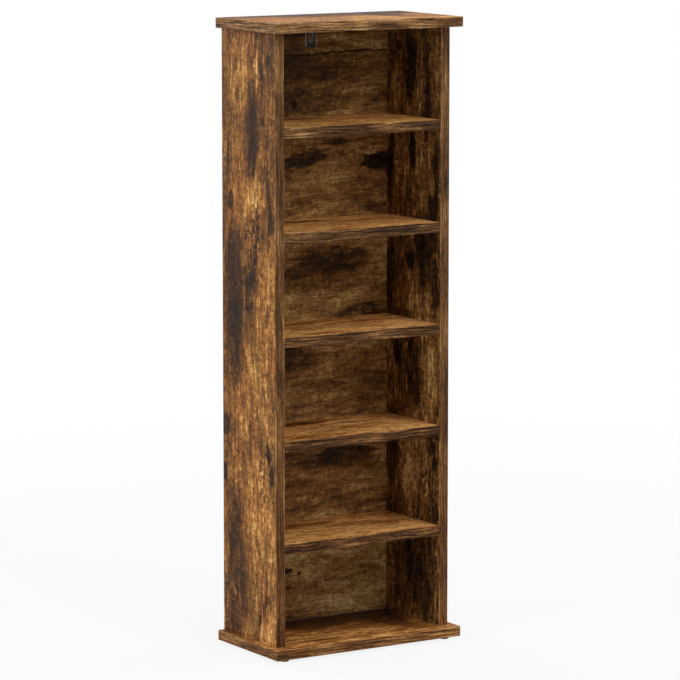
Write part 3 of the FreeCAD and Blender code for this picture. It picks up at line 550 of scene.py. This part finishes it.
# Each band takes the first of these whose name is in its own: the last one is for all that are left.
band_finishes = {
    "side_band": band_finish("upright_band", "X", "Z", "Y", base=0.48, contrast=0.6),
    "front_band": band_finish("front_band", "Z", "X", "Y", base=0.56),
    "shelf": band_finish("shelf_band", "Z", "X", "Y", base=0.4),
    "_band": band_finish("end_band", "Z", "Y", "X", base=0.6),
}
bands = [name for name in nodes if name.endswith("_band")]
for name in bands:
    part = next(part for part in band_finishes if part in name)
    finish_node(name, band_finishes[part])
print("bands:", len(bands))

# %% [markdown]
# ## Steel, zinc and plastic
# The fittings are small, so their finishes are simple but not flat. Zinc plate is a bright grey with a
# soft cloudy bloom, and the cam locks are cast, so theirs is rougher. The cover caps and the feet are
# moulded plastic with a fine grain on them, and the dowels are beech. All are the same two noises, one
# coarse and one fine, so one function makes them, with a list of tones and a size of grain for each.

# %% Steel, zinc and plastic
def small_finish(name, tones, spot, metallic, roughness, depth, stretch=1.0):
    """A finish for a fitting: its tones, the size of its spots in mm, and its relief in mm."""
    material, start, shader = new_finish(name)
    x, y, z = place(start, "X", "Y", "Z")
    bloom = spot * 12
    clouds = noise(x, y, z, (bloom, bloom, bloom * stretch), 3.0)
    grain = noise(x, y, z, (spot, spot, spot * stretch), 3.0)
    tone = clouds * 0.6 + grain * 0.4
    shader.inputs["Metallic"].default_value = metallic
    dress(start, shader, tone.colour(*tones), grain * 0.25 + (roughness - 0.12), grain, depth)
    return material


def from_to(dark, light):
    """The stops of a finish that lies between two colours of a colour card."""
    return [(0.3, paint(*dark)), (0.7, paint(*light))]


METAL, NO_METAL = 1.0, 0.0
zinc = small_finish("zinc_plate", from_to((150, 152, 150), (205, 207, 204)), 0.5, METAL, 0.34, 0.02)
cast = small_finish("cast_zinc", from_to((120, 121, 122), (168, 169, 170)), 0.4, METAL, 0.5, 0.06)
beech = small_finish("beech", from_to((196, 154, 108), (224, 186, 140)), 0.6, NO_METAL, 0.62, 0.05, 6.0)
caps = small_finish("cap_plastic", from_to((60, 40, 26), (78, 53, 35)), 0.4, NO_METAL, 0.5, 0.02)
feet = small_finish("foot_plastic", from_to((34, 30, 28), (50, 45, 42)), 0.4, NO_METAL, 0.55, 0.03)

fittings = {
    "nails": zinc, "screws": zinc, "bolts": zinc, "locks": cast, "caps": caps, "dowels": beech,
    "foot": feet,
}
for name in nodes:
    for ending, material in fittings.items():
        if name.endswith(ending):
            finish_node(name, material)
print("fittings finished:", sum(name.endswith(tuple(fittings)) for name in nodes))

# %% [markdown]
# ## Shaping small pieces
# The bracket, screw heads, nail heads and cover caps have more form than their CAD solids, so they are
# shaped again as by hand. In edit mode an operator changes all that is selected, and where a person would
# click, a test on the place of each corner, edge or face selects here. Most fittings are round: a circle
# grows ring by ring, each a step outward and a scale, as one would extrude and scale it with the keys.
# Places are in metres, as in the CAD model, and sizes in millimetres, as they would be measured.

# %% Opening, selecting and extruding
from mathutils import Vector

NEAR = 0.01 * MM


def begin(name):
    """Names the primitive that was just added, applies its place, and opens it for editing."""
    piece = bpy.context.active_object
    piece.name = piece.data.name = name
    bpy.ops.object.transform_apply(location=True, rotation=True, scale=True)
    bpy.ops.object.mode_set(mode="EDIT")
    return piece


def select(piece, kind, test):
    """In edit mode, selects only the corners, edges or faces whose middle passes the test."""
    bpy.ops.mesh.select_mode(type=kind)
    bpy.ops.mesh.select_all(action="DESELECT")
    bpy.ops.object.mode_set(mode="OBJECT")
    mesh = piece.data
    for part in {"VERT": mesh.vertices, "EDGE": mesh.edges, "FACE": mesh.polygons}[kind]:
        corners = [mesh.vertices[i].co for i in ([part.index] if kind == "VERT" else part.vertices)]
        part.select = bool(test(*(sum(corners, Vector()) / len(corners))))
    bpy.ops.object.mode_set(mode="EDIT")


def extrude(step, factor=1.0, middle=None):
    """Extrudes what is selected by a step, and scales the new part about its middle."""
    bpy.ops.mesh.extrude_region_move(TRANSFORM_OT_translate={"value": step})
    if middle is not None:
        bpy.ops.transform.resize(value=(factor, factor, factor), center_override=middle)


print("two places are the same within", NEAR, "m")


# %% Round pieces
def turned_to(direction):
    """The turn that makes what looks up look in a direction."""
    return Vector((0, 0, 1)).rotation_difference(direction).to_euler()


def round_piece(name, place, outward, radius, rings, shank, sides):
    """A round head grown by rings of (step, scale), and its shank of (radius, length, point), in mm."""
    place, outward = Vector(place), Vector(outward)
    bpy.ops.object.select_all(action="DESELECT")
    bpy.ops.mesh.primitive_circle_add(vertices=sides, radius=radius * MM, fill_type="NGON",
                                      location=place, rotation=turned_to(outward))
    piece = begin(name)
    front = place.copy()
    for step, factor in rings:
        front += outward * step * MM
        extrude(outward * step * MM, factor, front)
    select(piece, "FACE", lambda *middle: (Vector(middle) - place).length < NEAR)
    shank_radius, shank_length, point = shank
    bpy.ops.mesh.inset(thickness=(radius - shank_radius) * MM)
    tip = place - outward * shank_length * MM
    extrude(tip - place, 1.0, tip)
    if point:
        extrude(-outward * point * MM, 0.2, tip - outward * point * MM)
    return piece


print("round pieces are grown ring by ring")

# %% [markdown]
# ## Finishing, cutting and copying
# No edge of a real fitting is quite sharp, so a Bevel modifier can break the arrises, and the shading is
# smooth up to an angle. A finished piece then hides the CAD node that it replaces. Holes could be built
# into the mesh by hand, but a Boolean cutter works as a drill does. Copies could share one mesh, but each
# has its own here, and they are joined, so that a whole row of fittings is one piece.

# %% Finishing, cutting and copying
import math


def finish_piece(piece, replaced, material, arris=0.0, angle=30):
    """Closes editing, recalculates the normals, breaks the arrises and ties the piece to the cabinet."""
    bpy.ops.mesh.select_all(action="SELECT")
    bpy.ops.mesh.normals_make_consistent(inside=False)
    bpy.ops.object.mode_set(mode="OBJECT")
    if arris:
        modifier = piece.modifiers.new("arris", "BEVEL")
        modifier.width, modifier.segments = arris * MM, 2
        modifier.angle_limit = math.radians(angle)
        bpy.ops.object.modifier_apply(modifier=modifier.name)
    bpy.ops.object.shade_smooth_by_angle(angle=math.radians(angle))
    piece.data.materials.clear()
    piece.data.materials.append(material)
    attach(piece, "root")
    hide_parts(*replaced)


def only(piece):
    """Makes a piece the only one selected."""
    bpy.ops.object.select_all(action="DESELECT")
    piece.select_set(True)
    bpy.context.view_layer.objects.active = piece


def cut(piece, cutter):
    """Cuts a piece with a cutter, which is then gone."""
    only(piece)
    modifier = piece.modifiers.new("hole", "BOOLEAN")
    modifier.object, modifier.operation, modifier.solver = cutter, "DIFFERENCE", "EXACT"
    bpy.ops.object.modifier_apply(modifier=modifier.name)
    bpy.data.objects.remove(cutter)


def copy_to(piece, steps):
    """Copies a finished piece by each step, each copy with its own mesh, and joins them all into it."""
    copies = []
    for step in steps:
        only(piece)
        bpy.ops.object.duplicate()
        bpy.ops.transform.translate(value=step)
        bpy.ops.object.transform_apply(location=True)
        copies.append(bpy.context.active_object)
    only(piece)
    for copy in copies:
        copy.select_set(True)
    bpy.ops.object.join()


print("shaping tools ready")

# %% [markdown]
# ## Wall bracket
# The bracket under the top board is an angle of 1.5 mm steel with a slot for the wall screw. It could be
# two boxes joined, but a real one is punched from sheet and folded, so this one is too. A plane is the
# upright leg, and the level leg is extruded from its top edge. The fold and the corners are bevelled, and
# Solidify gives the sheet its thickness. The holes are punched by round cutters, and for the slot the
# cutter's two halves are pulled apart. The plating is dark, and brighter along the arrises: partly worn,
# partly a painted highlight.

# %% Punching
CUTTER_LENGTH = 4


def punch(place, through, diameter, stretch=0.0):
    """A round cutter through a sheet, or one for an upright slot where it is stretched, in mm."""
    place, through = Vector(place), Vector(through)
    start = place - through * CUTTER_LENGTH / 2 * MM
    bpy.ops.object.select_all(action="DESELECT")
    bpy.ops.mesh.primitive_circle_add(vertices=30, radius=diameter / 2 * MM, fill_type="NGON",
                                      location=start, rotation=turned_to(through))
    cutter = begin("cutter")
    extrude(through * CUTTER_LENGTH * MM)
    bpy.ops.mesh.select_all(action="SELECT")
    bpy.ops.mesh.normals_make_consistent(inside=False)
    if stretch:
        for end in (1, -1):
            select(cutter, "VERT", lambda x, y, z: (z - place.z) * end > 0)
            bpy.ops.transform.translate(value=(0, 0, end * stretch / 2 * MM))
    bpy.ops.object.mode_set(mode="OBJECT")
    return cutter


print("cutters are", CUTTER_LENGTH, "mm long")

# %% Wall bracket
STEEL, FOLD, CORNER = 1.5, 3.0, 3.0
SLOT_MIDDLE, SLOT_WIDTH, SLOT_STRETCH = 0.895, 7.5, 7.5
SCREW_ROWS, SCREW_HOLE = (0.0718, 0.0633), 3.2

low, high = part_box("wall_bracket")
back, top, middle = high[1], high[2], (low[2] + high[2]) / 2
bpy.ops.object.select_all(action="DESELECT")
bpy.ops.mesh.primitive_plane_add(size=1.0, location=(0, back, middle), rotation=(math.pi / 2, 0, 0))
bpy.ops.transform.resize(value=(high[0] - low[0], 1, high[2] - low[2]))
bracket = begin("bracket")
select(bracket, "EDGE", lambda x, y, z: z > top - NEAR)
extrude((0, low[1] - back, 0))
select(bracket, "EDGE", lambda x, y, z: z > top - NEAR and y > back - NEAR)
bpy.ops.mesh.bevel(offset=FOLD * MM, segments=6, affect="EDGES")
select(bracket, "VERT", lambda x, y, z: y < low[1] + NEAR or z < low[2] + NEAR)
bpy.ops.mesh.bevel(offset=CORNER * MM, segments=6, affect="VERTICES")
bpy.ops.object.mode_set(mode="OBJECT")
leg = next(face for face in bracket.data.polygons if face.center.y > back - NEAR)
sheet = bracket.modifiers.new("sheet", "SOLIDIFY")
sheet.thickness, sheet.use_even_offset = STEEL * MM, True
sheet.offset = 1 if leg.normal.y < 0 else -1
bpy.ops.object.modifier_apply(modifier=sheet.name)
cut(bracket, punch((0, back, SLOT_MIDDLE), (0, 1, 0), SLOT_WIDTH, SLOT_STRETCH))
for row in SCREW_ROWS:
    cut(bracket, punch((0, row, top), (0, 0, 1), SCREW_HOLE))
print("bracket:", [round(length / MM, 2) for length in bracket.dimensions], "mm")

# %% The bracket's finish
DULL_METAL = 0.4
DARK_STEEL = [
    (0.15, paint(36, 38, 34)), (0.45, paint(58, 60, 54)), (0.8, paint(120, 119, 108)),
    (1.1, paint(186, 184, 172)),
]


def bracket_finish():
    """Dark plated steel with fine scratches, brighter on its cut sides and around the slot: wear and
    painted highlight.
    """
    material, start, shader = new_finish("bracket_steel")
    x, y, z = place(start, "X", "Y", "Z")
    bloom = noise(x, y, z, (5, 5, 7), 3.0)
    grain = noise(x, y, z, (0.5, 0.5, 0.7), 3.0)
    scratches = noise(x, y, z, (0.3, 0.3, 9), 2.0).step(0.6, 0.75)
    # In millimetres from the slot's middle, the leg's sides lie at 9 and the slot's rim at 3.75.
    side = abs(x) * PER_METRE
    above = abs((z - SLOT_MIDDLE) * PER_METRE) - SLOT_STRETCH / 2
    past_slot = above.math("MAXIMUM", 0.0)
    ring = (past_slot * past_slot + side * side).math("SQRT")
    # Brighter at the sides and around the slot: partly worn plating, partly a painted highlight.
    wear_and_highlight = side.step(7.6, 8.9) + ring.step(4.9, 3.7) * 0.8
    tone = bloom * 0.35 + grain * 0.2 + scratches * 0.2 + wear_and_highlight * (grain + 0.5)
    shader.inputs["Metallic"].default_value = DULL_METAL
    roughness = 0.5 - wear_and_highlight * 0.1 + grain * 0.1
    dress(start, shader, tone.colour(*DARK_STEEL), roughness, grain + scratches * 0.5, 0.03)
    return material


bpy.ops.object.mode_set(mode="EDIT")
finish_piece(bracket, ["wall_bracket"], bracket_finish(), arris=0.2)
print("bracket finished, with", len(bracket.data.polygons), "faces")

# %% [markdown]
# ## Screws, nails and cover caps
# The bracket's two screws have a pan head with a cross recess, which is cut out of the dome by two
# crossed cutters. The nails of the back have a low domed head. The cover caps are thin plastic domes
# with a notch in the rim, by which a screwdriver lifts them. All of them could be squashed spheres, but
# a head grown in rings has a flat rim and a shank. One of each row is shaped, and copied for the rest.

# %% Bracket screws
def blade(place, size, narrowing):
    """A tapered cutter of a given size in mm, which narrows upwards."""
    bpy.ops.object.select_all(action="DESELECT")
    bpy.ops.mesh.primitive_cube_add(size=1.0, location=place)
    bpy.ops.transform.resize(value=[v * MM for v in size])
    cutter = begin("cutter")
    select(cutter, "FACE", lambda x, y, z: z > place[2] + 0.1 * MM)
    bpy.ops.transform.resize(value=(narrowing, narrowing, 1), center_override=place)
    bpy.ops.object.mode_set(mode="OBJECT")
    return cutter


DOWN, FORWARD, BACKWARD = (0, 0, -1), (0, -1, 0), (0, 1, 0)
HEAD_RADIUS, HEAD_SIDES = 3.2, 32
HEAD_RINGS = [(0.9, 1.0), (0.5, 0.93), (0.35, 0.8), (0.2, 0.55), (0.05, 0.2)]
SCREW_SHANK = (1.5, 9, 2)
RECESS_BLADES, RECESS_HEIGHT = ((3.4, 0.8, 2.4), (0.8, 3.4, 2.4)), 2

under_leg = top - STEEL * MM
screw = round_piece("bracket_screw_heads", (0, SCREW_ROWS[0], under_leg), DOWN,
                    HEAD_RADIUS, HEAD_RINGS, SCREW_SHANK, HEAD_SIDES)
bpy.ops.mesh.select_all(action="SELECT")
bpy.ops.mesh.normals_make_consistent(inside=False)
bpy.ops.object.mode_set(mode="OBJECT")
for size in RECESS_BLADES:
    cut(screw, blade((0, SCREW_ROWS[0], under_leg - RECESS_HEIGHT * MM), size, narrowing=0.6))
bpy.ops.object.mode_set(mode="EDIT")
finish_piece(screw, ["bracket_screws"], zinc)
copy_to(screw, [(0, SCREW_ROWS[1] - SCREW_ROWS[0], 0)])
print("bracket screws:", len(screw.data.polygons), "faces")

# %% Nails
NAIL_RADIUS, NAIL_SIDES = 1.7, 20
NAIL_RINGS = [(0.3, 1.0), (0.2, 0.9), (0.13, 0.68), (0.07, 0.35)]
NAIL_SHANK = (0.7, 11, 1)
BACK_FACE = 0.0843
EDGE_COLUMN, EDGE_ROWS, FIRST_EDGE_ROW, EDGE_PITCH = 0.1385, 12, 0.0563333, 0.0746667
SHELF_COLUMN, FIRST_SHELF_ROW, SHELF_PITCH = 0.0675, 0.1633333, 0.1518333


def nail_heads(name, node, column, first_row, rows, pitch):
    """Two columns of nails in the back, as one piece that replaces their CAD node."""
    nail = round_piece(name, (-column, BACK_FACE, first_row), BACKWARD,
                       NAIL_RADIUS, NAIL_RINGS, NAIL_SHANK, NAIL_SIDES)
    finish_piece(nail, [node], zinc)
    copy_to(nail, [(aside, 0, row * pitch) for aside in (0, 2 * column) for row in range(rows)][1:])
    print(name + ":", 2 * rows, "nails with", len(nail.data.polygons), "faces")


nail_heads("edge_nail_heads", "back_edge_nails", EDGE_COLUMN, FIRST_EDGE_ROW, EDGE_ROWS, EDGE_PITCH)
nail_heads("shelf_nail_heads", "back_shelf_nails", SHELF_COLUMN, FIRST_SHELF_ROW, SHELVES, SHELF_PITCH)

# %% Cover caps
CAP_RADIUS, CAP_SIDES = 8.5, 48
CAP_RINGS = [(0.5, 1.0), (0.35, 0.975), (0.2, 0.93), (0.1, 0.8), (0.04, 0.4)]
CAP_SHANK = (3.4, 3, 0)
NOTCH_WIDTH, NOTCH_DEPTH = 2.6, 0.7
INNER_FACE, FRONT_CAP, CAP_STEP = 0.135, -0.03, (0, 0.08, 0)
UNDER_SHELF_COLUMN, UNDER_SHELF_MIDDLE, FIRST_UNDERSIDE = 0.101, 0.01, 0.1558333


def cover_cap(name, node, place, outward, notched, steps):
    """A cover cap, with its notch on the side that looks down or forwards, and its copies."""
    cap = round_piece(name, place, outward, CAP_RADIUS, CAP_RINGS, CAP_SHANK, CAP_SIDES)
    rim = Vector(place) + Vector(notched) * CAP_RADIUS * MM
    select(cap, "VERT", lambda *spot: (Vector(spot) - rim).length < NOTCH_WIDTH / 2 * MM)
    bpy.ops.transform.translate(value=-Vector(notched) * NOTCH_DEPTH * MM)
    finish_piece(cap, [node], caps)
    copy_to(cap, steps)
    print(name + ":", len(steps) + 1, "caps with", len(cap.data.polygons), "faces")


for node, height in (("top_cam_caps", 0.881), ("bottom_cam_caps", 0.053)):
    for side, sign in (("left", -1), ("right", 1)):
        spot = (sign * INNER_FACE, FRONT_CAP, height)
        cover_cap(node.replace("cam", side), node, spot, (-sign, 0, 0), DOWN, [CAP_STEP])
under_shelf_steps = [(aside, 0, row * SHELF_PITCH) for aside in (0, 2 * UNDER_SHELF_COLUMN)
                     for row in range(SHELVES)][1:]
cover_cap("shelf_caps", "shelf_cam_caps", (-UNDER_SHELF_COLUMN, UNDER_SHELF_MIDDLE, FIRST_UNDERSIDE),
          DOWN, FORWARD, under_shelf_steps)

# %% [markdown]
# ## The floor and the light
# The photograph is a studio picture on white. The floor is a large pale plane, and what lies behind it
# is the world. Light bright enough to turn both white would bleach the wood. So Light Path shows them
# near white to the camera, also where a fitting mirrors them, and the floor keeps a soft shadow, while
# the world lights the wood weakly. Five large soft lamps, one on each side and one above, give the
# boards their shape.

# %% Floor
FLOOR_SIZE, FLOOR_ROUGHNESS = 60.0, 0.9
SHADOW_SHARE, SHADOW_FADES = 0.15, (0.6, 2.4)
PALE, WHITE = paint(222, 222, 222), paint(255, 255, 255)
RAYS = ("Is Camera Ray", "Is Glossy Ray", "Is Transmission Ray")


def seen_directly(start):
    """1 for what the camera sees, also in a mirror or through glass, and 0 for the light on the wood."""
    return sum(start.node("LightPath", out=ray) for ray in RAYS).math("MINIMUM", 1.0)


bpy.ops.object.select_all(action="DESELECT")
bpy.ops.mesh.primitive_plane_add(size=FLOOR_SIZE)
floor = bpy.context.active_object
floor.name = "floor"
material, start, shader = new_finish("pale_floor")
shader.inputs["Base Color"].default_value = PALE
shader.inputs["Roughness"].default_value = FLOOR_ROUGHNESS
white = start.node("Emission", sockets={"Color": WHITE, "Strength": 1.0})
lit = Value(start.tree, shader.outputs[0])
point = start.node("TexCoord", out="Object")
distance = point.node("VectorMath", {"operation": "LENGTH"}, {0: point}, out="Value")
share = seen_directly(start) * (distance.step(*SHADOW_FADES) * SHADOW_SHARE + (1 - SHADOW_SHARE))
surface = start.node("MixShader", sockets={0: share, 1: lit, 2: white})
end = next(node for node in start.tree.nodes if node.type == "OUTPUT_MATERIAL")
start.tree.links.new(surface.socket, end.inputs["Surface"])
floor.data.materials.append(material)
print("floor:", floor.dimensions[:])

# %% Light
ROOM_LIGHT = 0.28
LAMP_SIZE, LAMP_AIM = 1.8, (0, 0, 0.5)
LAMPS = {
    "left_lamp": ((-3.0, -0.3, 1.5), 46), "front_lamp": ((0.5, -3.0, 2.9), 60),
    "top_lamp": ((0.0, -0.2, 3.4), 15), "right_lamp": ((3.0, -0.3, 1.5), 38),
    "rear_lamp": ((-0.5, 3.2, 1.8), 50),
}

scene = bpy.context.scene
scene.view_settings.view_transform = "Standard"
scene.world = bpy.data.worlds.new("studio")
scene.world.use_nodes = True
tree = scene.world.node_tree
tree.nodes.clear()
start = Value(tree)
level = seen_directly(start) * (1 - ROOM_LIGHT) + ROOM_LIGHT
room = start.node("Background", sockets={"Color": WHITE, "Strength": level})
start.node("OutputWorld", sockets={"Surface": room})

for name, (stand, power) in LAMPS.items():
    data = bpy.data.lights.new(name, "AREA")
    data.size, data.energy = LAMP_SIZE, power
    lamp = bpy.data.objects.new(name, data)
    lamp.location = stand
    lamp.rotation_euler = (Vector(LAMP_AIM) - Vector(stand)).to_track_quat("-Z", "Y").to_euler()
    scene.collection.objects.link(lamp)
print("lamps:", len(LAMPS))

# %% [markdown]
# ## The camera
# The photograph was taken from the left and a little above, and its lines hardly converge, so the camera
# stands far off and has a long lens. A short one close by could frame the cabinet as well, but its near
# side would look too large. The numbers were fitted to the corners of the boards in the photograph, whose
# upright lines are parallel. Lens shift could do that too, but it would spoil the views from elsewhere,
# so the camera tilts down a little.

# %% Camera
AZIMUTH, ELEVATION = math.radians(32.161), math.radians(8.319)
DISTANCE, HEIGHT, SIDESTEP = 5.5938, 0.4536, 0.000425
LENS, SENSOR, FAR_LIMIT = 200.5, 36.0, 50.0

level_part = math.cos(ELEVATION)
ahead = Vector((math.sin(AZIMUTH) * level_part, math.cos(AZIMUTH) * level_part, -math.sin(ELEVATION)))
right = Vector((math.cos(AZIMUTH), -math.sin(AZIMUTH), 0.0))
data = bpy.data.cameras.new("camera")
data.lens, data.sensor_width, data.clip_end = LENS, SENSOR, FAR_LIMIT
camera = bpy.data.objects.new("camera", data)
camera.location = Vector((0.0, 0.0, HEIGHT)) + SIDESTEP * right - DISTANCE * ahead
camera.rotation_euler = (math.pi / 2 - ELEVATION, 0.0, -AZIMUTH)
scene.collection.objects.link(camera)
scene.camera = camera
print("camera at", [round(v, 3) for v in camera.location])
